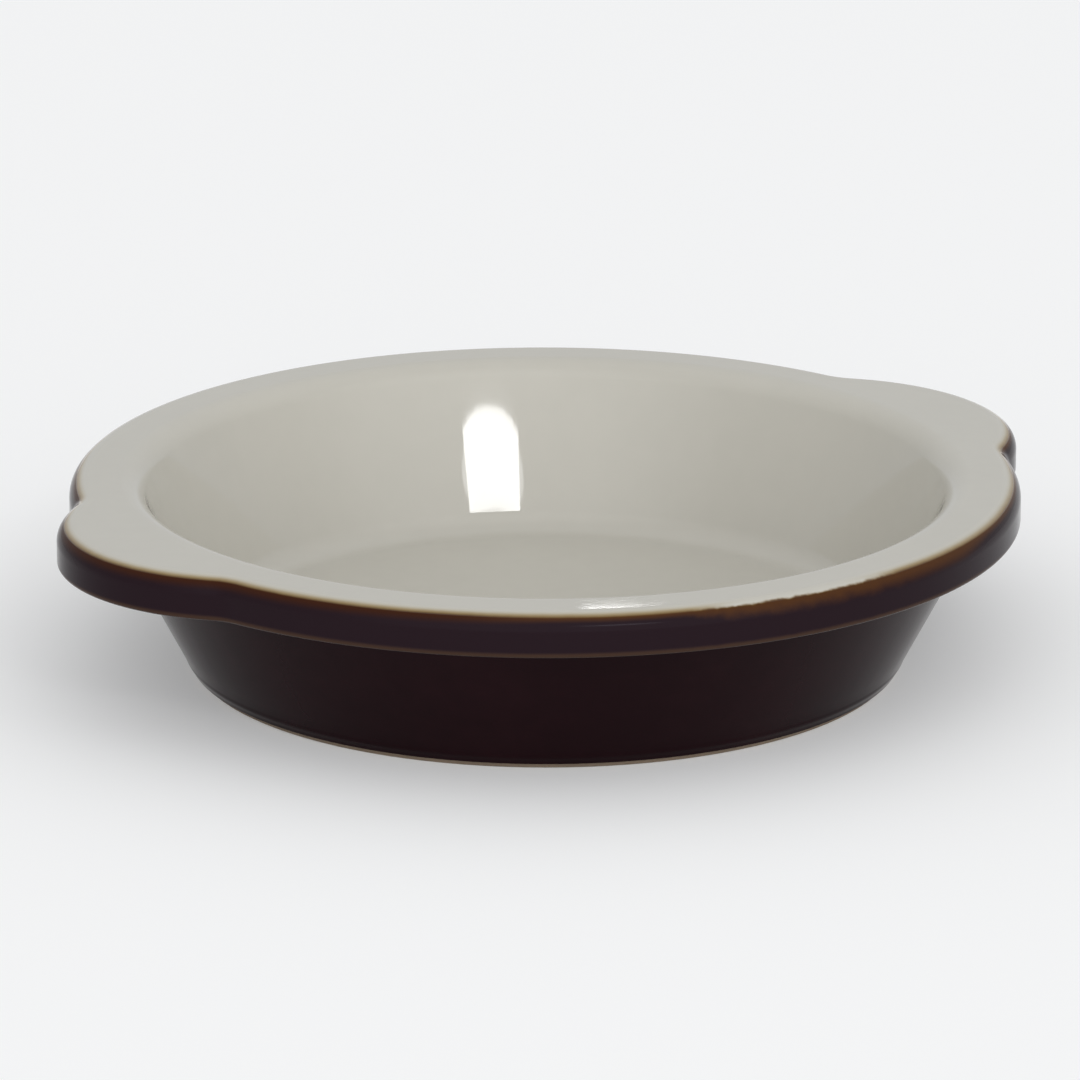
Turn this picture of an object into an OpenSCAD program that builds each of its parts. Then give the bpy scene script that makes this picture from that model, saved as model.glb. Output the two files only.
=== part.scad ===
// Round au gratin dish in pressed stoneware: a shallow bowl with a thick rim band and two ears,
// lined with a cream glaze and coated outside with a dark brown one. It stands on a bare foot ring.

/* [Dish] */
// Width across the round rim, without the ears
rim_d = 165; // [150:0.5:190]
// Height from the table to the top of the rim
dish_h = 33.6; // [28:0.2:40]
// Width of the bottom edge that the outside wall runs down to
foot_d = 123; // [112:0.2:136]
// Thickness of the wall at the level of the floor, measured level, with both coats
wall_t = 6; // [4.5:0.1:7.5]
// Height of the inside floor above the table
floor_h = 5.2; // [4.4:0.1:8]
// Radius of the cove between the inside wall and the floor
cove_r = 5.5; // [3:0.5:20]

/* [Rim] */
// Height of the band round the rim
band_h = 7.6; // [6.5:0.1:10]
// Overhang of the band beyond the wall below it
band_out = 7.4; // [5:0.1:8]
// Rounding of the band's top outer edge
top_edge_r = 3.4; // [2:0.1:4]
// Rounding of the band's lower outer edge
low_edge_r = 0.9; // [0.7:0.1:2]
// Radius of the hollow where the band's underside meets the wall
under_r = 2.4; // [1:0.1:4]
// Width of the rim's top, in to where the inside wall's line meets it
rim_w = 11.9; // [10.5:0.1:14]
// Radius of the roll from the rim's top down into the bowl
lip_r = 5; // [2:0.1:7]

/* [Ears] */
// Angle at the dish's centre from an ear's middle to where its blend leaves the rim
ear_spread = 20.7; // [17:0.1:24]
// Angle at the ear's centre from its middle to where its round end meets the blend
ear_turn = 47.4; // [42:0.1:56]
// Radius of the hollow blend between ear and rim
ear_blend_r = 9.4; // [8:0.2:20]

/* [Foot] */
// Width of the bare ring that the dish stands on
foot_ring_w = 7.5; // [4:0.1:12]
// Depth of the glazed underside above the ring
foot_recess = 1; // [0.6:0.1:2]
// Rounding of the ring's edges
foot_edge_r = 0.6; // [0.3:0.1:1]
// Height above the table at which the outside coat stops
bare_h = 1; // [0.8:0.1:2]
// Bare margin wiped clean between the ring and the underside's coat
wiped_w = 1; // [0.5:0.1:3]

/* [Glaze] */
// Thickness of every coat
glaze_t = 0.4; // [0.25:0.05:0.6]
// Angle round the top edge, from straight up, at which the cream coat stops
cream_end = 40; // [25:1:50]
// Angle round the top edge, from straight up, at which the brown coat starts
brown_start = 57; // [52:1:75]

/* [Hidden] */
$fn = 120;

rim_r = rim_d / 2;
foot_r = foot_d / 2;
band_z = dish_h - band_h;
// Lean of the outside wall from upright: it runs straight from the foot to the band's underside
wall_lean = atan((rim_r - band_out - foot_r) / band_z);
// The inside wall runs straight from the floor to the mouth, steeper, so that the wall thickens upwards
floor_r = wall_x(floor_h, 0) - wall_t;
mouth_r = rim_r - rim_w;
inside_lean = atan((mouth_r - floor_r) / (dish_h - floor_h));

// Stretches of one solid overlap by this much where the rim's flat top and underside carry on
lap = 0.5;
// Flat strip that the edge section keeps behind the top edge's rounding
edge_flat = 0.8;
// Width of the strip along the rim's edge that follows the ears
edge_w = top_edge_r + edge_flat;
// Radius at which the round bowl hands over to that strip
join_r = rim_r - edge_w;
// How far a cutting shape stands past what it cuts
over = 1;
// Angle by which the clay of an ear's round end runs on inside its blends
run_on = 6;
// Arcs are drawn this much larger, so that they cross the straight sides and don't just touch them
bite = 0.002;

// The lip's roll is limited by the flat top that is left beside the edge strip
lip_room = join_r - lap - mouth_r;
lip_fit = min(lip_r, lip_room / tan((90 - inside_lean) / 2));

// Centres of the blend and of the ear's round end: neighbouring arcs touch on the line of their centres
blend_c = (rim_r + ear_blend_r) * [cos(ear_spread), sin(ear_spread)];
ear_c = [blend_c.x - blend_c.y / tan(ear_turn), 0];
ear_r = blend_c.y / sin(ear_turn) - ear_blend_r;

// Foot ring, in clay: its outer edge carries on the wall, its inner side rises at 45 degrees
ring_out = wall_x(0, glaze_t);
ring_in = ring_out - foot_ring_w;
under_z = foot_recess + glaze_t;
under_r_max = ring_in - under_z;

// Centre of the top edge's rounding, in the edge's own section
top_edge_c = [-top_edge_r, dish_h - top_edge_r];

// Radius of the outside wall at height z, and of the inside wall, both at a depth below their faces
function wall_x(z, depth) = foot_r + z * tan(wall_lean) - depth / cos(wall_lean);
function inside_x(z, depth) = floor_r + (z - floor_h) * tan(inside_lean) + depth / cos(inside_lean);

function unit(v) = v / norm(v);
function xy(p) = [p.x, p.y];

// One corner of an outline: its point, the two ends of its arc, the arc's centre and which way it turns
function corner(points, i) =
    let (
        count = len(points),
        before = xy(points[(i + count - 1) % count]),
        here = xy(points[i]),
        after = xy(points[(i + 1) % count]),
        radius = points[i].z,
        back = unit(before - here),
        on = unit(after - here),
        half = acos(back * on) / 2,
        centre = here + unit(back + on) * radius / sin(half),
        reach = radius / tan(half)
    )
    [here, here + back * reach, here + on * reach, centre, cross(here - before, after - here)];

// What lies between a sharp corner and its arc
module corner_piece(found, radius) {
    tip = found[0] + unit(found[0] - found[3]) * min(over, radius) / 2;
    difference() {
        polygon([found[1], tip, found[2]]);
        translate(found[3]) circle(radius + bite);
    }
}

// Straight-sided outline with round corners: points are [x, y, radius], anticlockwise
module rounded(points) {
    corners = [for (i = [0:len(points) - 1]) if (points[i].z > 0) [corner(points, i), points[i].z]];
    difference() {
        union() {
            polygon([for (p = points) xy(p)]);
            for (c = corners) if (c[0][4] < 0) corner_piece(c[0], c[1]);
        }
        for (c = corners) if (c[0][4] > 0) corner_piece(c[0], c[1]);
    }
}

// Moves in whole millimetres, then thousandths, then the rest, so that arcs meet to a fine tolerance
module place(p) {
    whole = [for (c = p) round(c)];
    fine = [for (c = p - whole) round(c * 1000) / 1000];
    translate(whole) translate(fine) translate(p - whole - fine) children();
}

// Section of the clay bowl out to the edge strip
module bowl_section() {
    d = glaze_t;
    rounded([
        [0, under_z, 0],
        [under_r_max, under_z, foot_edge_r],
        [ring_in, 0, foot_edge_r],
        [ring_out, 0, foot_edge_r],
        [wall_x(band_z + d, d), band_z + d, under_r + d],
        [join_r, band_z + d, 0],
        [join_r, dish_h - d, 0],
        [inside_x(dish_h - d, d), dish_h - d, lip_fit - d],
        [inside_x(floor_h - d, d), floor_h - d, cove_r + d],
        [0, floor_h - d, 0]
    ]);
}

// Space inside the bowl, from the surface at a depth d below the glaze; margin widens it for cutting
module inside_section(d, margin) {
    rounded([
        [-margin, floor_h - d, 0],
        [inside_x(floor_h - d, d), floor_h - d, cove_r + d],
        [inside_x(dish_h - d, d), dish_h - d, lip_fit - d],
        [join_r + margin, dish_h - d, 0],
        [join_r + margin, dish_h + over + margin, 0],
        [-margin, dish_h + over + margin, 0]
    ]);
}

// Space outside the wall and under the band, in the same way
module outside_section(d, margin) {
    rounded([
        [wall_x(0, d), 0, 0],
        [join_r + margin, 0, 0],
        [join_r + margin, band_z + d, 0],
        [wall_x(band_z + d, d), band_z + d, under_r + d]
    ]);
}

// Section of the rim's edge at a depth d below the glaze: x is 0 on the outline and grows outwards
module edge_section(d, margin = 0) {
    inner = -edge_w - lap - margin;
    rounded([
        [inner, band_z + d, 0],
        [-d, band_z + d, low_edge_r - d],
        [-d, dish_h - d, top_edge_r - d],
        [inner, dish_h - d, 0]
    ]);
}

// Skin of glaze on the rim's edge, within a zone
module edge_coat(zone) {
    intersection() {
        difference() {
            edge_section(0);
            edge_section(glaze_t, over);
        }
        polygon(zone);
    }
}

// Point beyond the top edge's skin, at an angle from straight up
far = edge_w + band_h;
function edge_ray(angle) = top_edge_c + far * [sin(angle), cos(angle)];

// Sweeps an edge section along the blends and round ends of the ears; the round ends can run on by an angle
module along_ears(on = 0) {
    for (side = [0, 1]) mirror([side, 0, 0]) {
        place([ear_c.x, ear_c.y, 0])
            rotate_extrude(angle = 2 * (ear_turn + on), start = -ear_turn - on) place([ear_r, 0]) children();
        for (hand = [0, 1]) mirror([0, hand, 0]) place([blend_c.x, blend_c.y, 0])
            rotate_extrude(angle = ear_turn - ear_spread, start = 180 + ear_spread)
                place([ear_blend_r, 0]) mirror([1, 0]) children();
    }
}

// Sweeps an edge section round the whole outline: rim between the ears, blends and round ends
module round_outline() {
    for (side = [0, 1]) mirror([0, side, 0])
        rotate_extrude(angle = 180 - 2 * ear_spread, start = ear_spread) place([rim_r, 0]) children();
    along_ears() children();
}

// Level slab of both ears between the bowl and the edge strip; it stops half a lap short along the blends
// and starts past their ends, so that its sides cross the sweeps and don't just touch them
module ear_slab(low, thickness) {
    past = unit(blend_c + lap * unit([-blend_c.y, blend_c.x])) * norm(blend_c);
    short_r = ear_blend_r + edge_w + lap / 2;
    translate([0, 0, low]) linear_extrude(thickness)
        for (side = [0, 1]) mirror([side, 0]) difference() {
            union() {
                place(ear_c) circle(ear_r - edge_w);
                difference() {
                    polygon([[0, 0], [past.x, -past.y], [blend_c.x, -blend_c.y], ear_c, blend_c, past]);
                    for (hand = [0, 1]) mirror([0, hand]) place(blend_c) circle(short_r);
                }
            }
            circle(join_r - lap);
        }
}

// Fired clay: bowl, rim band, ears and foot ring moulded in one
module stoneware_body() {
    color("burlywood") union() {
        rotate_extrude() {
            bowl_section();
            place([rim_r, 0]) edge_section(glaze_t);
        }
        along_ears(run_on) edge_section(glaze_t);
        ear_slab(band_z + glaze_t, band_h - 2 * glaze_t);
    }
}

// Cream coat: floor, inside wall, rim top and ear tops
module liner_glaze() {
    left = -edge_w - lap - over;
    zone = [
        top_edge_c,
        edge_ray(cream_end),
        edge_ray(0),
        [left, edge_ray(0).y],
        [left, top_edge_c.y]
    ];
    color("linen") union() {
        rotate_extrude() difference() {
            inside_section(glaze_t, 0);
            inside_section(0, over);
        }
        round_outline() edge_coat(zone);
        ear_slab(dish_h - glaze_t, glaze_t);
    }
}

// Amber line where the brown coat runs out thin over the cream one
module rim_line_glaze() {
    zone = [
        top_edge_c,
        edge_ray(brown_start),
        edge_ray((cream_end + brown_start) / 2),
        edge_ray(cream_end)
    ];
    color("peru") round_outline() edge_coat(zone);
}

// Dark brown coat: band, ear edges, undersides and outside wall
module outer_glaze() {
    left = -edge_w - lap - over;
    zone = [
        top_edge_c,
        [left, top_edge_c.y],
        [left, band_z - over],
        [far, band_z - over],
        edge_ray(90),
        edge_ray(brown_start)
    ];
    color("#2a1c1a") union() {
        rotate_extrude() difference() {
            outside_section(glaze_t, 0);
            outside_section(0, over);
            square([far + rim_r, bare_h]);
        }
        round_outline() edge_coat(zone);
        ear_slab(band_z, glaze_t);
    }
}

// Brown coat of the sunk underside, inside the wiped margin
module base_glaze() {
    edge = under_r_max - wiped_w;
    color("#2f201c") rotate_extrude()
        polygon([[0, foot_recess], [edge - glaze_t, foot_recess], [edge, under_z], [0, under_z]]);
}

stoneware_body();
liner_glaze();
rim_line_glaze();
outer_glaze();
base_glaze();
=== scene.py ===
"""Looks of a round au gratin dish in glazed stoneware: its coats, its bare clay and the studio."""

import math

import bmesh
import bpy
from bpy.props import FloatProperty, FloatVectorProperty, PointerProperty
from mathutils import Matrix, Vector


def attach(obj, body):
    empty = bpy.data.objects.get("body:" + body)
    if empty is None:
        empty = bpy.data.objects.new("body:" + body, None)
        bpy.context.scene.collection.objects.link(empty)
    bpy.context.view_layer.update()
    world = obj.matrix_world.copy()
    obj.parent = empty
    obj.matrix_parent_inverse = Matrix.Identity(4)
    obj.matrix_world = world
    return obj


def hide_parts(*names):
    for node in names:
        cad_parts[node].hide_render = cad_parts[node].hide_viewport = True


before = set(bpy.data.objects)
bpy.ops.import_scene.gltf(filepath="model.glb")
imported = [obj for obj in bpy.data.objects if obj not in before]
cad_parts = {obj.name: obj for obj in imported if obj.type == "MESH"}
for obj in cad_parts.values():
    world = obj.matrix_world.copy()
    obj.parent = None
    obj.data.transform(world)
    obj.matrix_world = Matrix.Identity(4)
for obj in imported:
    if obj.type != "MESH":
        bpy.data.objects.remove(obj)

bl_info = {
    "name": "Au Gratin Dish",
    "version": (1, 0, 0),
    "blender": (4, 5, 0),
    "location": "3D View > Sidebar > Gratin Dish",
    "description": "Glaze coats, bare clay and studio of a round eared stoneware dish",
    "category": "Object",
}

MM = 0.001

# Steps of the outline's arcs, which every sweep shares
EAR_STEPS = 24
BLEND_STEPS = 14
RIM_STEPS = 76

# Steps of the sections
FLAT_STEPS = 5
COVE_STEPS = 16
LIP_STEPS = 28
CREAM_EDGE_STEPS = 16
BROWN_EDGE_STEPS = 14
FACE_STEPS = 4
HOLLOW_STEPS = 12
WALL_STEPS = 12
BEAD_STEPS = 8
BASE_STEPS = 16
BASE_EDGE_STEPS = 3

# Loops this near the ends of a straight stretch keep its shading straight
SUPPORT = 0.15 * MM
EDGE_SUPPORT = 0.1 * MM

# The round part of the rim's top stops this far inside the eared part
BRIDGE_GAP = 0.5 * MM

# The bead of glaze swells over the upper share of the outside coat's lowest stretch
BEAD_STRETCH = 2.2 * MM
BEAD_SHARE = 0.8

# A run past every change of colour
PLAIN_RUN = 20 * MM

MERGE_DISTANCE = 0.002 * MM
LEVEL_TOLERANCE = 0.001 * MM
RADIUS_TOLERANCE = 0.01 * MM
SHARP_ANGLE = math.radians(40)

SENSOR_MM = 36.0
FRAME_PIXELS = 1080.0


# Properties

def length(name, text, mm):
    """A size in metres, given in millimetres."""
    return FloatProperty(
        name=name, description=text, default=mm * MM, min=0.0, precision=5, subtype="DISTANCE", unit="LENGTH"
    )


def angle(name, text, degrees):
    """An angle in radians, given in degrees."""
    return FloatProperty(
        name=name, description=text, default=math.radians(degrees), subtype="ANGLE", unit="ROTATION"
    )


def share(name, text, value):
    return FloatProperty(name=name, description=text, default=value, min=0.0, max=1.0, subtype="FACTOR")


def strength(name, text, value):
    return FloatProperty(name=name, description=text, default=value, min=0.0)


def frame_place(name, text, pixels):
    """A place in the camera's frame, in pixels."""
    return FloatProperty(name=name, description=text, default=pixels, subtype="PIXEL")


def tint(name, text, rgb):
    return FloatVectorProperty(
        name=name, description=text, default=rgb, size=3, min=0.0, max=1.0, subtype="COLOR"
    )


class DishShape(bpy.types.PropertyGroup):
    """Sizes of the dish, as the solids have them."""

    height: length("Height", "From the table to the top of the rim", 33.6)
    rim_radius: length("Rim radius", "Round rim without the ears", 82.5)
    foot_radius: length("Foot radius", "Bottom edge that the outside wall runs down to", 61.5)
    wall: length("Wall", "Thickness of the wall at the level of the floor, measured level", 6.0)
    floor_height: length("Floor height", "Inside floor above the table", 5.2)
    cove: length("Cove", "Radius between the inside wall and the floor", 5.5)
    rim_width: length("Rim width", "Rim's top, in to where the inside wall's line meets it", 11.9)
    lip: length("Lip", "Radius of the roll from the rim's top into the bowl", 5.0)
    band: length("Band", "Height of the rim band", 7.6)
    overhang: length("Overhang", "Reach of the band beyond the wall below it", 7.4)
    top_edge: length("Top edge", "Rounding of the band's top outer edge", 3.4)
    low_edge: length("Low edge", "Rounding of the band's lower outer edge", 0.9)
    under: length("Hollow under the band", "Radius where the underside meets the wall", 2.4)
    flat: length("Flat strip", "Level strip that the edge keeps behind its rounding", 0.8)
    ear_spread: angle("Ear spread", "At the dish's centre, from an ear's middle to its blend's end", 20.7)
    ear_turn: angle("Ear turn", "At the ear's centre, from its middle to its blend's start", 47.4)
    ear_blend: length("Ear blend", "Radius of the hollow between ear and rim", 9.4)
    glaze: length("Glaze", "Thickness of every coat", 0.4)
    cream_end: angle("Cream end", "Round the top edge, where the cream coat stops", 40)
    brown_start: angle("Brown start", "Round the top edge, where the brown coat starts", 57)
    bare: length("Bare foot", "Height above the table at which the outside coat stops", 1.0)
    bead: length("Glaze bead", "How far the outside coat swells above its lower edge", 0.12)
    recess: length("Recess", "Depth of the glazed underside above the foot ring", 1.0)
    ring: length("Foot ring", "Width of the bare ring that the dish stands on", 7.5)
    wiped: length("Wiped margin", "Bare clay between the ring and the underside's coat", 1.0)


class DishFinish(bpy.types.PropertyGroup):
    """Colours and gloss of the finishes."""

    cream: tint("Cream", "Liner glaze", (0.50, 0.48, 0.425))
    # Straw: partly a real stain of the cream glaze, partly painted shade that darkens the top edge's
    # rounding
    straw_stain_and_shade: tint("Straw stain and shade", "Cream glaze stained where the brown runs out", (0.38, 0.32, 0.21))
    gold: tint("Gold", "First film of brown glaze over the cream", (0.19, 0.112, 0.024))
    amber: tint("Amber", "Brown glaze where it lies thin over the cream", (0.068, 0.027, 0.010))
    umber: tint("Umber", "Brown glaze a little thicker over the cream", (0.040, 0.0125, 0.0055))
    russet: tint("Russet", "Brown glaze where it thins on an edge", (0.050, 0.027, 0.018))
    brown: tint("Brown", "Brown glaze at full thickness", (0.0110, 0.0032, 0.0042))
    # Painted reflection: the band's face is lighter and bluer than the wall, standing for the floor that it
    # reflects
    band_sheen_brown: tint("Band sheen brown", "Brown glaze on the band's face", (0.0166, 0.0086, 0.0116))
    brown_sheen: tint("Brown sheen", "Colour of the brown glaze's reflections", (0.88, 0.88, 1.0))
    clay: tint("Clay", "Bare fired stoneware", (0.22, 0.165, 0.115))
    speck: tint("Speck", "Dark grains in the clay", (0.12, 0.07, 0.045))
    cream_gloss: share("Cream roughness", "Mean roughness of the cream glaze", 0.02)
    brown_gloss: share("Brown roughness", "Mean roughness of the brown glaze", 0.13)
    brown_shine: share("Brown shine", "Specular level of the brown glaze", 0.05)


class DishStudio(bpy.types.PropertyGroup):
    """Camera and light. Azimuths of the light start at the camera's side and are seen from above."""

    distance: length("Camera distance", "From the point that the camera is aimed by", 1485.0)
    aim_height: length("Aim height", "Of that point, in the dish's middle, above the table", 33.2)
    azimuth: angle("Camera azimuth", "Round the dish, from its front", -30.2)
    elevation: angle("Camera elevation", "Above the table", 16.63)
    roll: angle("Camera roll", "Turn about the line of sight", 0.075)
    focal: FloatProperty(
        name="Focal length", description="For a sensor 36 mm wide", default=285.3,
        subtype="DISTANCE_CAMERA", unit="CAMERA",
    )
    aim_x: frame_place("Aim across", "Place of that point, of 1080 pixels from the frame's left", 545.06)
    aim_y: frame_place("Aim down", "Place of that point, of 1080 pixels from the frame's top", 474.3)
    floor: tint("Floor", "Plain pale floor", (0.95, 0.95, 0.95))
    floor_lit: share("Floor lit", "Share of plain white in the floor that the camera sees", 0.2)
    room: tint("Room", "Colour of the room's light", (0.98, 0.99, 1.0))
    room_low: strength("Room's dim side", "Light from behind the dish", 0.69)
    room_high: strength("Room's bright side", "Light from above the camera", 1.62)
    room_azimuth: angle("Room azimuth", "Middle of the room's bright side", 12)
    room_elevation: angle("Room elevation", "Middle of the room's bright side", 18)
    lamp_distance: length("Lamp distance", "From the dish's middle to each lamp", 1900.0)
    window_azimuth: angle("Window azimuth", "Middle of the window", 18.36)
    window_elevation: angle("Window elevation", "Middle of the window", 31.057)
    window_tilt: angle("Window tilt", "Turn of the window about its own axis", -3.65)
    glint_azimuth: angle("Glint azimuth", "Spot on the rim's top that the rim light is aimed at", 9.7)
    glint_radius: length("Glint radius", "Of that spot, from the dish's middle", 77.8)
    rim_azimuth: angle("Rim light azimuth", "Place of the small lamp behind the dish", 179.03)
    rim_elevation: angle("Rim light elevation", "Place of the small lamp behind the dish", 18.768)


def sizes():
    return bpy.context.scene.dish_shape


def finishes():
    return bpy.context.scene.dish_finish


def studio():
    return bpy.context.scene.dish_studio


# Geometry that several pieces share

def wall_lean(s):
    """Lean of the wall from upright."""
    return math.atan((s.rim_radius - s.overhang - s.foot_radius) / (s.height - s.band))


def wall_radius(s, z, depth=0.0):
    """Radius of the outside wall at a height, or of a face that lies that deep behind it."""
    lean = wall_lean(s)
    return s.foot_radius + z * math.tan(lean) - depth / math.cos(lean)


def inside_line(s):
    """Radius of the inside wall at the floor and at the rim's top, and its lean from upright."""
    low = wall_radius(s, s.floor_height) - s.wall
    high = s.rim_radius - s.rim_width
    return low, high, math.atan((high - low) / (s.height - s.floor_height))


def outline_arcs(s):
    """Arcs of the eared rim in order from an ear's tip: centre, angle and number of steps."""
    reach = s.rim_radius + s.ear_blend
    blend = Vector((reach * math.cos(s.ear_spread), reach * math.sin(s.ear_spread), 0.0))
    ear = Vector((blend.x - blend.y / math.tan(s.ear_turn), 0.0, 0.0))
    quarter = [
        (ear, s.ear_turn, EAR_STEPS),
        (blend, s.ear_spread - s.ear_turn, BLEND_STEPS),
        (Vector(), math.pi / 2 - s.ear_spread, RIM_STEPS),
    ]
    half = quarter + [(Vector((-c.x, c.y, 0.0)), turn, steps) for c, turn, steps in reversed(quarter)]
    return half + [(Vector((-c.x, -c.y, 0.0)), turn, steps) for c, turn, steps in half]


def ear_tip(s):
    """Distance of an ear's tip from the dish's middle."""
    reach = s.rim_radius + s.ear_blend
    across = reach * math.sin(s.ear_spread)
    ear = reach * math.cos(s.ear_spread) - across / math.tan(s.ear_turn)
    return ear + across / math.sin(s.ear_turn) - s.ear_blend


def top_edge_point(s, turn):
    """Place on the top edge's rounding at an ear's tip, that far round from upright, and its run."""
    x = ear_tip(s) - s.top_edge * (1 - math.sin(turn))
    z = s.height - s.top_edge * (1 - math.cos(turn))
    return x, z, s.top_edge * turn


class Section:
    """A profile drawn in the XZ plane, one stretch after the other, with the length run along it."""

    def __init__(self, bm, x, z, run=0.0):
        self.bm = bm
        self.run_layer = bm.verts.layers.float.get("run") or bm.verts.layers.float.new("run")
        self.last = bmesh.ops.create_vert(bm, co=(x, 0.0, z))["vert"][0]
        self.last[self.run_layer] = run
        self.verts = [self.last]
        self.edges = []

    def follow(self, edges, verts):
        """Takes on new verts that were made in order."""
        self.edges += edges
        for v in verts:
            v[self.run_layer] = self.last[self.run_layer] + (v.co - self.last.co).length
            self.last = v
            self.verts.append(v)

    def line(self, x, z, steps=1, close=0.0):
        """A straight stretch; a close above 0 adds a loop at that distance from each end."""
        start = self.last.co.copy()
        whole = Vector((x, 0.0, z)) - start
        margin = close / whole.length
        stops = [margin + (1 - 2 * margin) * k / steps for k in range(steps + 1)]
        stops = stops[1:] if close == 0 else stops + [1.0]
        for stop in stops:
            made = bmesh.ops.extrude_vert_indiv(self.bm, verts=[self.last])
            bmesh.ops.translate(self.bm, verts=made["verts"], vec=start + whole * stop - self.last.co)
            self.follow(made["edges"], made["verts"])

    def arc(self, x, z, turn, steps):
        """An arc about a centre; a positive turn goes from upright to outwards."""
        step = Matrix.Rotation(turn / steps, 3, "Y")
        for _ in range(steps):
            made = bmesh.ops.extrude_vert_indiv(self.bm, verts=[self.last])
            bmesh.ops.rotate(self.bm, verts=made["verts"], cent=(x, 0.0, z), matrix=step)
            self.follow(made["edges"], made["verts"])


def sweep(bm, section, stretches):
    """Spins a section through stretches of centre, angle and steps, all the way round."""
    geometry = section.verts + section.edges
    for centre, turn, steps in stretches:
        made = bmesh.ops.spin(
            bm, geom=geometry, cent=centre, axis=(0, 0, 1), angle=turn, steps=steps, use_merge=False
        )
        geometry = made["geom_last"]
    bmesh.ops.remove_doubles(bm, verts=bm.verts[:], dist=MERGE_DISTANCE)


def round_stretches(s):
    """The same steps as the outline's, but all about the dish's middle, so that both can be bridged."""
    at = Vector((ear_tip(s), 0.0, 0.0))
    before = 0.0
    stretches = []
    for centre, turn, steps in outline_arcs(s):
        at = centre + Matrix.Rotation(turn, 3, "Z") @ (at - centre)
        now = math.atan2(at.y, at.x) % (2 * math.pi)
        if now <= before:
            now = 2 * math.pi
        stretches.append((Vector(), now - before, steps))
        before = now
    return stretches


def bridge_level(bm, z, radius):
    """Joins the round edge of that radius to the other open edge at that height."""
    open_edges = [e for e in bm.edges if e.is_boundary]
    level = [e for e in open_edges if all(abs(v.co.z - z) < LEVEL_TOLERANCE for v in e.verts)]
    if not level:
        raise RuntimeError("There are no open edges at the level to bridge")
    limit = radius + RADIUS_TOLERANCE
    edges = [e for e in level if all(v.co.xy.length < limit for v in e.verts)]
    edges += [e for e in level if all(v.co.xy.length > limit for v in e.verts)]
    bmesh.ops.bridge_loops(bm, edges=edges)


def finish_piece(bm, name, material, node, thickness=0.0):
    """Gives an open coat its thickness, and puts the coat in the CAD node's place."""
    bmesh.ops.recalc_face_normals(bm, faces=bm.faces[:])
    if thickness > 0:
        bmesh.ops.solidify(bm, geom=bm.faces[:], thickness=thickness)
        bmesh.ops.recalc_face_normals(bm, faces=bm.faces[:])
    mesh = bpy.data.meshes.new(name)
    bm.to_mesh(mesh)
    bm.free()
    mesh.shade_smooth()
    mesh.set_sharp_from_angle(angle=SHARP_ANGLE)
    mesh.materials.append(material)
    piece = bpy.data.objects.new(name, mesh)
    bpy.context.scene.collection.objects.link(piece)
    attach(piece, "root")
    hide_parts(node)


# Materials

class Nodes:
    """Short calls for a node tree."""

    def __init__(self, tree):
        self.tree = tree

    def add(self, kind, **values):
        node = self.tree.nodes.new(kind)
        for key, value in values.items():
            setattr(node, key, value)
        return node

    def link(self, source, target):
        self.tree.links.new(source, target)

    def put(self, socket, value):
        """Links a socket to another one, or sets its own value."""
        if isinstance(value, bpy.types.NodeSocket):
            self.link(value, socket)
        else:
            socket.default_value = value

    def math(self, operation, *values, clamp=False):
        node = self.add("ShaderNodeMath", operation=operation, use_clamp=clamp)
        for socket, value in zip(node.inputs, values):
            self.put(socket, value)
        return node.outputs[0]

    def plus(self, a, b):
        return self.math("ADD", a, b)

    def minus(self, a, b):
        return self.math("SUBTRACT", a, b)

    def times(self, a, b):
        return self.math("MULTIPLY", a, b)

    def swing(self, noise, amount):
        """A noise about 0, times an amount."""
        return self.times(self.minus(noise, 0.5), amount)

    def ramp(self, value, low, high, out_low=0.0, out_high=1.0):
        """Smooth step from low to high."""
        node = self.add("ShaderNodeMapRange", interpolation_type="SMOOTHSTEP")
        self.put(node.inputs["Value"], value)
        self.put(node.inputs["From Min"], low)
        self.put(node.inputs["From Max"], high)
        self.put(node.inputs["To Min"], out_low)
        self.put(node.inputs["To Max"], out_high)
        return node.outputs["Result"]

    def noise(self, place, scale, detail=2.0, roughness=0.5):
        node = self.add("ShaderNodeTexNoise")
        self.link(place, node.inputs["Vector"])
        node.inputs["Scale"].default_value = scale
        node.inputs["Detail"].default_value = detail
        node.inputs["Roughness"].default_value = roughness
        return node.outputs["Fac"]

    def toward(self, place, direction):
        """How far a place lies in a direction."""
        node = self.add("ShaderNodeVectorMath", operation="DOT_PRODUCT")
        self.link(place, node.inputs[0])
        node.inputs[1].default_value = direction
        return node.outputs["Value"]

    def mix(self, factor, a, b):
        node = self.add("ShaderNodeMix", data_type="RGBA", blend_type="MIX")
        for socket, value in ((node.inputs[0], factor), (node.inputs[6], a), (node.inputs[7], b)):
            self.put(socket, value)
        return node.outputs[2]

    def mix_shaders(self, factor, a, b):
        node = self.add("ShaderNodeMixShader")
        self.put(node.inputs[0], factor)
        self.link(a, node.inputs[1])
        self.link(b, node.inputs[2])
        return node.outputs[0]

    def bump(self, shader, height, strength, distance):
        node = self.add("ShaderNodeBump")
        node.inputs["Strength"].default_value = strength
        node.inputs["Distance"].default_value = distance
        self.link(height, node.inputs["Height"])
        self.link(node.outputs["Normal"], shader.inputs["Normal"])


def rgba(colour, factor=1.0):
    """A colour for a socket, made lighter or darker by a factor."""
    return (*(min(c * factor, 1.0) for c in colour), 1.0)


def new_group(name, inputs, outputs):
    """A shader node group with float sockets; the inputs come with their defaults."""
    tree = bpy.data.node_groups.new(name, "ShaderNodeTree")
    for socket, default in inputs.items():
        made = tree.interface.new_socket(socket, in_out="INPUT", socket_type="NodeSocketFloat")
        made.default_value = default
    for socket in outputs:
        tree.interface.new_socket(socket, in_out="OUTPUT", socket_type="NodeSocketFloat")
    nodes = Nodes(tree)
    return tree, nodes, nodes.add("NodeGroupInput").outputs, nodes.add("NodeGroupOutput").inputs


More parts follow.
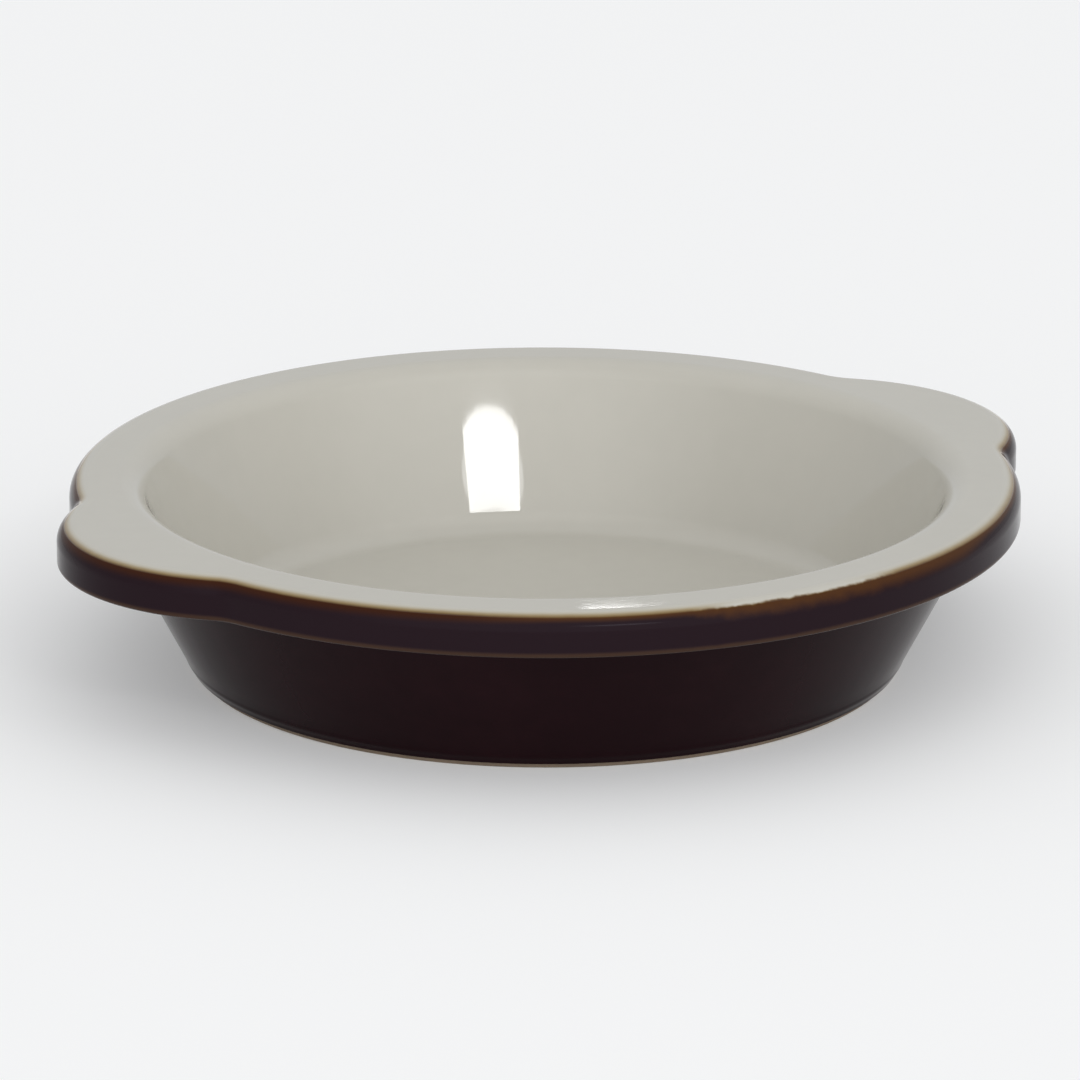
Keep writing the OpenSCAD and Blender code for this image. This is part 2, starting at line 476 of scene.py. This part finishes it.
def glaze_skin_group():
    """Slow waves and fine orange peel of a fired glaze, with roughness that drifts."""
    name = "Glaze skin"
    if name in bpy.data.node_groups:
        return bpy.data.node_groups[name]
    tree, n, given, result = new_group(
        name, {"Roughness": 0.25, "Drift": 0.05}, ("Roughness", "Height", "Shade")
    )
    at = n.add("ShaderNodeTexCoord").outputs["Object"]
    waves = n.times(n.noise(at, 50.0, 0.0), 0.05 * MM)
    peel = n.times(n.noise(at, 800.0, 1.0), 0.0012 * MM)
    drift = n.noise(at, 30.0)
    fine = n.noise(at, 240.0)
    n.link(n.plus(waves, peel), result["Height"])
    n.link(n.plus(given["Roughness"], n.times(n.swing(drift, given["Drift"]), 2.0)), result["Roughness"])
    n.link(n.plus(n.times(drift, 0.65), n.times(fine, 0.35)), result["Shade"])
    return tree


def run_out_group():
    """Where the brown glaze runs out over the cream, with the straw next to it that is partly a real stain
    and partly painted shade, and where it thins on the band's lower edge, above which the band's face gets a
    painted reflection.

    Inputs and ramps along the run are in millimetres from the start of the top edge's rounding.
    """
    name = "Glaze run-out"
    if name in bpy.data.node_groups:
        return bpy.data.node_groups[name]
    tree, n, given, result = new_group(
        name,
        {"Start": 2.1, "Narrow": 1.4, "Wide": 3.1, "Lower Edge": 9.07},
        ("Stain And Shade", "Over", "Film", "Thick", "Depth", "Thin Edge", "Band"),
    )
    at = n.add("ShaderNodeTexCoord").outputs["Object"]
    run = n.times(n.add("ShaderNodeAttribute", attribute_name="run").outputs["Fac"], 1 / MM)
    slow = n.noise(at, 28.0, 1.0)
    quick = n.noise(at, 380.0, 2.0, 0.55)
    drift = n.swing(slow, 0.25)

    # Each direction is over the rim's radius, so it gives about 1 on the rim there
    front_right = n.toward(at, (2.6, -11.86, 0.0))
    front = n.toward(at, (0.0, -12.12, 0.0))
    left_ear = n.toward(at, (-11.6, -2.0, 0.0))

    # The line widens at the front right, and half as much at the left ear, where it is darker too
    ear_side = n.ramp(n.plus(left_ear, drift), 0.55, 0.9)
    wide_front = n.ramp(n.plus(front_right, drift), 0.87, 0.965)
    wide = n.math("MAXIMUM", wide_front, n.times(ear_side, 0.5))
    span = n.plus(given["Narrow"], n.times(wide, n.minus(given["Wide"], given["Narrow"])))

    # Its start wavers all round, and is ragged where it is chipped at the front
    chipped = n.ramp(n.plus(front, n.times(drift, 0.3)), 0.95, 0.975)
    ragged = n.swing(quick, n.plus(n.times(chipped, 1.1), 0.12))
    wobble = n.plus(n.swing(slow, 0.5), ragged)
    past = n.minus(n.plus(run, wobble), given["Start"])

    # Straw next to the brown: partly a real stain, partly painted shade on the top edge's rounding
    n.link(n.times(n.ramp(past, -1.4, -0.1), n.minus(1.0, chipped)), result["Stain And Shade"])
    n.link(n.ramp(past, n.math("MULTIPLY_ADD", chipped, 0.5, -0.8), 0.3), result["Over"])
    n.link(n.ramp(past, -0.2, 0.5), result["Film"])
    n.link(ear_side, result["Thick"])
    n.link(n.math("DIVIDE", past, span, clamp=True), result["Depth"])

    below = n.minus(run, given["Lower Edge"])
    off_edge = n.plus(n.math("ABSOLUTE", below), n.times(wobble, 0.25))
    n.link(n.ramp(off_edge, 0.1, 0.8, 1.0, 0.0), result["Thin Edge"])
    # The band's face above its lower edge, where the painted reflection goes
    n.link(n.ramp(below, -0.6, 0.4, 1.0, 0.0), result["Band"])
    return tree


def empty_material(name):
    """A material without nodes, short calls for its tree, and the socket for its surface."""
    material = bpy.data.materials.new(name)
    material.use_nodes = True
    material.node_tree.nodes.clear()
    nodes = Nodes(material.node_tree)
    return material, nodes, nodes.add("ShaderNodeOutputMaterial").inputs["Surface"]


def new_material(name):
    """A material with a Principled shader."""
    material, nodes, surface = empty_material(name)
    shader = nodes.add("ShaderNodeBsdfPrincipled")
    nodes.link(shader.outputs["BSDF"], surface)
    return material, nodes, shader


def add_skin(n, shader, roughness, drift, bump):
    """Puts the glaze skin on a shader and returns its shade."""
    skin = n.add("ShaderNodeGroup", node_tree=glaze_skin_group())
    skin.inputs["Roughness"].default_value = roughness
    skin.inputs["Drift"].default_value = drift
    n.link(skin.outputs["Roughness"], shader.inputs["Roughness"])
    n.bump(shader, skin.outputs["Height"], bump, 1.0)
    return skin.outputs["Shade"]


def glaze_colour(n, shade):
    """Cream that stains, partly for real and partly as painted shade on the top edge's rounding, then amber
    that deepens to brown, along the run of the rim's edge; the band's face is painted lighter and bluer as a
    painted reflection.
    """
    f = finishes()
    where = n.add("ShaderNodeGroup", node_tree=run_out_group()).outputs
    cream = n.mix(n.ramp(shade, 0.3, 0.7), rgba(f.cream, 0.985), rgba(f.cream, 1.015))
    # Straw: partly a real stain, partly painted shade on the top edge's rounding
    cream = n.mix(where["Stain And Shade"], cream, rgba(f.straw_stain_and_shade))
    brown = n.mix(n.ramp(shade, 0.35, 0.7), rgba(f.brown), rgba(f.brown, 1.3))
    # Painted reflection: the band's face is lighter and bluer than the wall below it
    brown = n.mix(where["Band"], brown, rgba(f.band_sheen_brown))
    brown = n.mix(where["Thin Edge"], brown, rgba(f.russet))
    thin = n.mix(where["Thick"], rgba(f.amber), rgba(f.umber))
    thin = n.mix(where["Film"], rgba(f.gold), thin)
    deep = n.mix(n.ramp(where["Depth"], 0.2, 1.0), thin, brown)
    return n.mix(where["Over"], cream, deep)


def cream_glaze():
    material, n, shader = new_material("glossy_cream")
    shade = add_skin(n, shader, finishes().cream_gloss, drift=0.01, bump=0.05)
    n.link(glaze_colour(n, shade), shader.inputs["Base Color"])
    shader.inputs["IOR"].default_value = 1.5
    return material


def dark_glaze(name):
    f = finishes()
    material, n, shader = new_material(name)
    shade = add_skin(n, shader, f.brown_gloss, drift=0.03, bump=1.0)
    n.link(glaze_colour(n, shade), shader.inputs["Base Color"])
    shader.inputs["Specular IOR Level"].default_value = f.brown_shine
    shader.inputs["Specular Tint"].default_value = rgba(f.brown_sheen)
    return material


def outer_coat_glaze():
    """The outer coat's own material, which the base coat shares."""
    coat = bpy.data.objects.get("outer_coat")
    if coat is None:
        raise RuntimeError("The outer coat comes before the base coat")
    return coat.data.materials[0]


def fired_clay():
    """Cloudy clay with dark grains and a sandy surface."""
    f = finishes()
    material, n, shader = new_material("bare_clay")
    at = n.add("ShaderNodeTexCoord").outputs["Object"]
    cloud = n.noise(at, 120.0, 4.0, 0.6)
    grit = n.noise(at, 2200.0, 3.0, 0.7)
    base = n.mix(cloud, rgba(f.clay, 0.82), rgba(f.clay, 1.15))
    specks = n.times(n.ramp(grit, 0.62, 0.72), 0.55)
    n.link(n.mix(specks, base, rgba(f.speck)), shader.inputs["Base Color"])
    n.link(n.ramp(grit, 0.2, 0.8, 0.72, 0.9), shader.inputs["Roughness"])
    n.bump(shader, grit, 0.6, 0.12 * MM)
    return material


# Pieces

class DISH_OT_liner(bpy.types.Operator):
    """Cream coat: floor, inside wall, rim top and ear tops"""

    bl_idname = "dish.liner"
    bl_label = "Liner Coat"

    def execute(self, context):
        s = sizes()
        corner, lip_at, lean = inside_line(s)
        turn = math.pi / 2 - lean
        cove = s.cove * math.tan(turn / 2)
        lip = s.lip * math.tan(turn / 2)
        join = s.rim_radius - s.top_edge - s.flat - BRIDGE_GAP
        bm = bmesh.new()
        bowl = Section(bm, 0.0, s.floor_height)
        bowl.line(corner - cove, s.floor_height, FLAT_STEPS, SUPPORT)
        bowl.arc(corner - cove, s.floor_height + s.cove, -turn, COVE_STEPS)
        bowl.line(lip_at - lip * math.sin(lean), s.height - lip * math.cos(lean), FLAT_STEPS, SUPPORT)
        bowl.arc(lip_at + lip, s.height - s.lip, turn, LIP_STEPS)
        bowl.line(join, s.height, 1, SUPPORT)
        for v in bowl.verts:
            v[bowl.run_layer] = 0.0
        sweep(bm, bowl, round_stretches(s))
        centre = ear_tip(s) - s.top_edge
        edge = Section(bm, centre - s.flat, s.height, -s.flat)
        edge.line(centre, s.height, 1, EDGE_SUPPORT)
        edge.arc(centre, s.height - s.top_edge, s.cream_end, CREAM_EDGE_STEPS)
        sweep(bm, edge, outline_arcs(s))
        bridge_level(bm, s.height, join)
        finish_piece(bm, "liner_coat", cream_glaze(), "liner_glaze", s.glaze)
        return {"FINISHED"}


class DISH_OT_rim_line(bpy.types.Operator):
    """Amber line where the brown coat runs out thin over the cream one"""

    bl_idname = "dish.rim_line"
    bl_label = "Rim Line"

    def execute(self, context):
        s = sizes()
        bm = bmesh.new()
        edge = Section(bm, *top_edge_point(s, s.cream_end))
        turn = s.brown_start - s.cream_end
        edge.arc(ear_tip(s) - s.top_edge, s.height - s.top_edge, turn, BROWN_EDGE_STEPS)
        sweep(bm, edge, outline_arcs(s))
        glaze = dark_glaze("glossy_amber")
        finish_piece(bm, "rim_line_coat", glaze, "rim_line_glaze", s.glaze)
        return {"FINISHED"}


class DISH_OT_outer_coat(bpy.types.Operator):
    """Dark brown coat: band, ear edges, undersides and outside wall"""

    bl_idname = "dish.outer_coat"
    bl_label = "Outer Coat"

    def execute(self, context):
        s = sizes()
        low = s.height - s.band
        bm = bmesh.new()
        self.sweep_band(bm, s, low)
        hollow_start = self.sweep_wall(bm, s, low)
        bridge_level(bm, low, hollow_start)
        glaze = dark_glaze("glossy_brown")
        finish_piece(bm, "outer_coat", glaze, "outer_glaze", s.glaze)
        return {"FINISHED"}

    def sweep_band(self, bm, s, low):
        """Band's face and lower edge, round the ears, and the start of the underside."""
        tip = ear_tip(s)
        band = Section(bm, *top_edge_point(s, s.brown_start))
        turn = math.pi / 2 - s.brown_start
        band.arc(tip - s.top_edge, s.height - s.top_edge, turn, BROWN_EDGE_STEPS)
        band.line(tip, low + s.low_edge, FACE_STEPS, EDGE_SUPPORT)
        band.arc(tip - s.low_edge, low + s.low_edge, math.pi / 2, BROWN_EDGE_STEPS)
        band.line(tip - s.top_edge - s.flat, low)
        sweep(bm, band, outline_arcs(s))

    def sweep_wall(self, bm, s, low):
        """Hollow under the band, and the wall down to the bead; returns the hollow's outer radius."""
        turn = math.pi / 2 - wall_lean(s)
        start = wall_radius(s, low) + s.under * math.tan(turn / 2)
        wall = Section(bm, start, low, PLAIN_RUN)
        wall.arc(start, low - s.under, -turn, HOLLOW_STEPS)
        top = wall.last.co.z
        bead_top = s.bare + BEAD_STRETCH
        for k in range(1, WALL_STEPS + 1):
            z = top + (bead_top - top) * k / WALL_STEPS
            wall.line(wall_radius(s, z), z)
        for k in range(1, BEAD_STEPS + 1):
            down = k / BEAD_STEPS
            z = bead_top - BEAD_STRETCH * down
            swell = s.bead * math.sin(math.pi * min(down / BEAD_SHARE, 1.0)) ** 2
            wall.line(wall_radius(s, z) + swell, z)
        sweep(bm, wall, round_stretches(s))
        return start


class DISH_OT_base_coat(bpy.types.Operator):
    """Brown coat of the sunk underside, inside the wiped margin"""

    bl_idname = "dish.base_coat"
    bl_label = "Base Coat"

    def execute(self, context):
        s = sizes()
        deep = s.recess + s.glaze
        reach = wall_radius(s, 0.0, s.glaze) - s.ring - deep - s.wiped
        bm = bmesh.new()
        base = Section(bm, 0.0, s.recess, PLAIN_RUN)
        base.line(reach - 2 * s.glaze, s.recess, BASE_STEPS)
        base.line(reach, deep, BASE_EDGE_STEPS)
        base.line(0.0, deep)
        sweep(bm, base, round_stretches(s))
        finish_piece(bm, "base_coat", outer_coat_glaze(), "base_glaze")
        return {"FINISHED"}


class DISH_OT_bare_clay(bpy.types.Operator):
    """Fired clay that shows on the foot ring and its margins"""

    bl_idname = "dish.bare_clay"
    bl_label = "Bare Clay"

    def execute(self, context):
        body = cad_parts["stoneware_body"]
        body.data.materials.clear()
        body.data.materials.append(fired_clay())
        return {"FINISHED"}


# Stage

def direction(azimuth, elevation):
    """Direction from the dish; the azimuth is seen from above and starts at the dish's front."""
    level = math.cos(elevation)
    return Vector((math.sin(azimuth) * level, -math.cos(azimuth) * level, math.sin(elevation)))


def around(azimuth, elevation=0.0):
    """Direction from the dish whose azimuth starts at the camera's side."""
    return direction(studio().azimuth + azimuth, elevation)


def camera_matrix(d):
    """The camera's place and turn, with the aimed point at its place in the frame."""
    out = direction(d.azimuth, d.elevation)
    forward = -out
    right = forward.cross(Vector((0, 0, 1))).normalized()
    up = right.cross(forward)
    focal_pixels = d.focal / SENSOR_MM * FRAME_PIXELS
    pan = Matrix.Rotation(math.atan((d.aim_x - FRAME_PIXELS / 2) / focal_pixels), 3, up)
    forward, right = pan @ forward, pan @ right
    tilt = Matrix.Rotation(math.atan((d.aim_y - FRAME_PIXELS / 2) / focal_pixels), 3, right)
    forward, up = tilt @ forward, tilt @ up
    twist = Matrix.Rotation(-d.roll, 3, forward)
    turn = Matrix((twist @ right, twist @ up, -forward)).transposed()
    place = Vector((0.0, 0.0, d.aim_height)) + out * d.distance
    return Matrix.Translation(place) @ turn.to_4x4()


def add_lamp(name, shape, toward, target, size, watts, tilt=0.0, spread=math.pi):
    """A lamp that looks at a target on the dish, turned by a tilt about its own axis."""
    place = Vector((0.0, 0.0, sizes().height / 2)) + studio().lamp_distance * toward
    lamp = bpy.data.lights.new(name, "AREA")
    lamp.shape = shape
    lamp.size, lamp.size_y = size
    lamp.spread = spread
    lamp.energy = watts
    holder = bpy.data.objects.new(name, lamp)
    holder.location = place
    turn = Matrix.Rotation(tilt, 4, "Z").to_quaternion()
    holder.rotation_euler = ((target - place).to_track_quat("-Z", "Y") @ turn).to_euler()
    bpy.context.scene.collection.objects.link(holder)


def floor_material(d):
    """Pale floor that looks a little whiter to the camera and in reflections, and keeps its shadow."""
    material, n, surface = empty_material("pale_floor")
    path = n.add("ShaderNodeLightPath").outputs
    seen = n.math("MAXIMUM", path["Is Camera Ray"], path["Is Glossy Ray"])
    seen = n.math("MAXIMUM", seen, path["Is Transmission Ray"])
    plain = n.add("ShaderNodeBsdfDiffuse")
    plain.inputs["Color"].default_value = rgba(d.floor)
    white = n.add("ShaderNodeEmission")
    white.inputs["Strength"].default_value = 1.0
    lit = n.mix_shaders(d.floor_lit, plain.outputs[0], white.outputs[0])
    n.link(n.mix_shaders(seen, plain.outputs[0], lit), surface)
    return material


def room_world(d):
    """Soft light of the room, brightest above the camera's right."""
    world = bpy.data.worlds.new("room")
    world.use_nodes = True
    n = Nodes(world.node_tree)
    background = world.node_tree.nodes["Background"]
    sky = n.add("ShaderNodeTexCoord").outputs["Generated"]
    facing = n.toward(sky, around(d.room_azimuth, d.room_elevation))
    n.link(n.ramp(facing, 0.3, 1.0, d.room_low, d.room_high), background.inputs["Strength"])
    background.inputs["Color"].default_value = rgba(d.room)
    return world


class DISH_OT_studio(bpy.types.Operator):
    """Pale floor, soft room light, lamps and the camera"""

    bl_idname = "dish.studio"
    bl_label = "Studio"

    def execute(self, context):
        d = studio()
        self.add_floor(context, d)
        context.scene.world = room_world(d)
        self.add_lamps(d)
        self.add_camera(context, d)
        context.scene.view_settings.view_transform = "Standard"
        return {"FINISHED"}

    def add_floor(self, context, d):
        """A floor a hair below the foot, so that the two faces don't coincide."""
        bm = bmesh.new()
        below = Matrix.Translation((0.0, 0.0, -0.02 * MM))
        bmesh.ops.create_grid(bm, x_segments=1, y_segments=1, size=6.0, matrix=below)
        mesh = bpy.data.meshes.new("floor")
        bm.to_mesh(mesh)
        bm.free()
        mesh.materials.append(floor_material(d))
        floor = bpy.data.objects.new("floor", mesh)
        context.scene.collection.objects.link(floor)

    def add_lamps(self, d):
        """A low wide window, stepped towards its ends, and a small lamp that glints on the rim."""
        top = Vector((0.0, 0.0, sizes().height))
        window = around(d.window_azimuth, d.window_elevation)
        tilt = d.window_tilt
        add_lamp("window_middle", "RECTANGLE", window, top / 2, (0.30, 0.0425), 0.55, tilt)
        add_lamp("window_inner", "RECTANGLE", window, top / 2, (0.44, 0.0410), 0.80, tilt)
        add_lamp("window_outer", "RECTANGLE", window, top / 2, (0.53, 0.0370), 0.95, tilt)
        add_lamp("window_glow", "ELLIPSE", window, top / 2, (0.62, 0.0430), 0.3, tilt)
        glint = top + d.glint_radius * around(d.glint_azimuth)
        behind = around(d.rim_azimuth, d.rim_elevation)
        add_lamp("rim_light", "ELLIPSE", behind, glint, (0.034, 0.0016), 3e-7, spread=math.radians(2))

    def add_camera(self, context, d):
        lens = bpy.data.cameras.new("camera")
        lens.sensor_width = SENSOR_MM
        lens.lens = d.focal
        lens.clip_end = 50.0
        camera = bpy.data.objects.new("camera", lens)
        camera.matrix_world = camera_matrix(d)
        context.scene.collection.objects.link(camera)
        context.scene.camera = camera


class DISH_PT_panel(bpy.types.Panel):
    """Lists the dish's pieces and its sizes"""

    bl_label = "Gratin Dish"
    bl_idname = "DISH_PT_panel"
    bl_space_type = "VIEW_3D"
    bl_region_type = "UI"
    bl_category = "Gratin Dish"

    def draw(self, context):
        for step in STEPS:
            self.layout.operator(step.bl_idname)
        for group in (sizes(), finishes(), studio()):
            box = self.layout.box()
            for key in group.__annotations__:
                box.prop(group, key)


STEPS = (
    DISH_OT_liner,
    DISH_OT_rim_line,
    DISH_OT_outer_coat,
    DISH_OT_base_coat,
    DISH_OT_bare_clay,
    DISH_OT_studio,
)
GROUPS = {"dish_shape": DishShape, "dish_finish": DishFinish, "dish_studio": DishStudio}


def register():
    for cls in (*GROUPS.values(), *STEPS, DISH_PT_panel):
        bpy.utils.register_class(cls)
    for key, cls in GROUPS.items():
        setattr(bpy.types.Scene, key, PointerProperty(type=cls))


def unregister():
    for key in GROUPS:
        delattr(bpy.types.Scene, key)
    for cls in reversed((*GROUPS.values(), *STEPS, DISH_PT_panel)):
        bpy.utils.unregister_class(cls)


def main():
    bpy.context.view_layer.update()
    register()
    bpy.ops.dish.liner()
    bpy.ops.dish.rim_line()
    bpy.ops.dish.outer_coat()
    bpy.ops.dish.base_coat()
    bpy.ops.dish.bare_clay()
    bpy.ops.dish.studio()


if __name__ == "__main__":
    main()
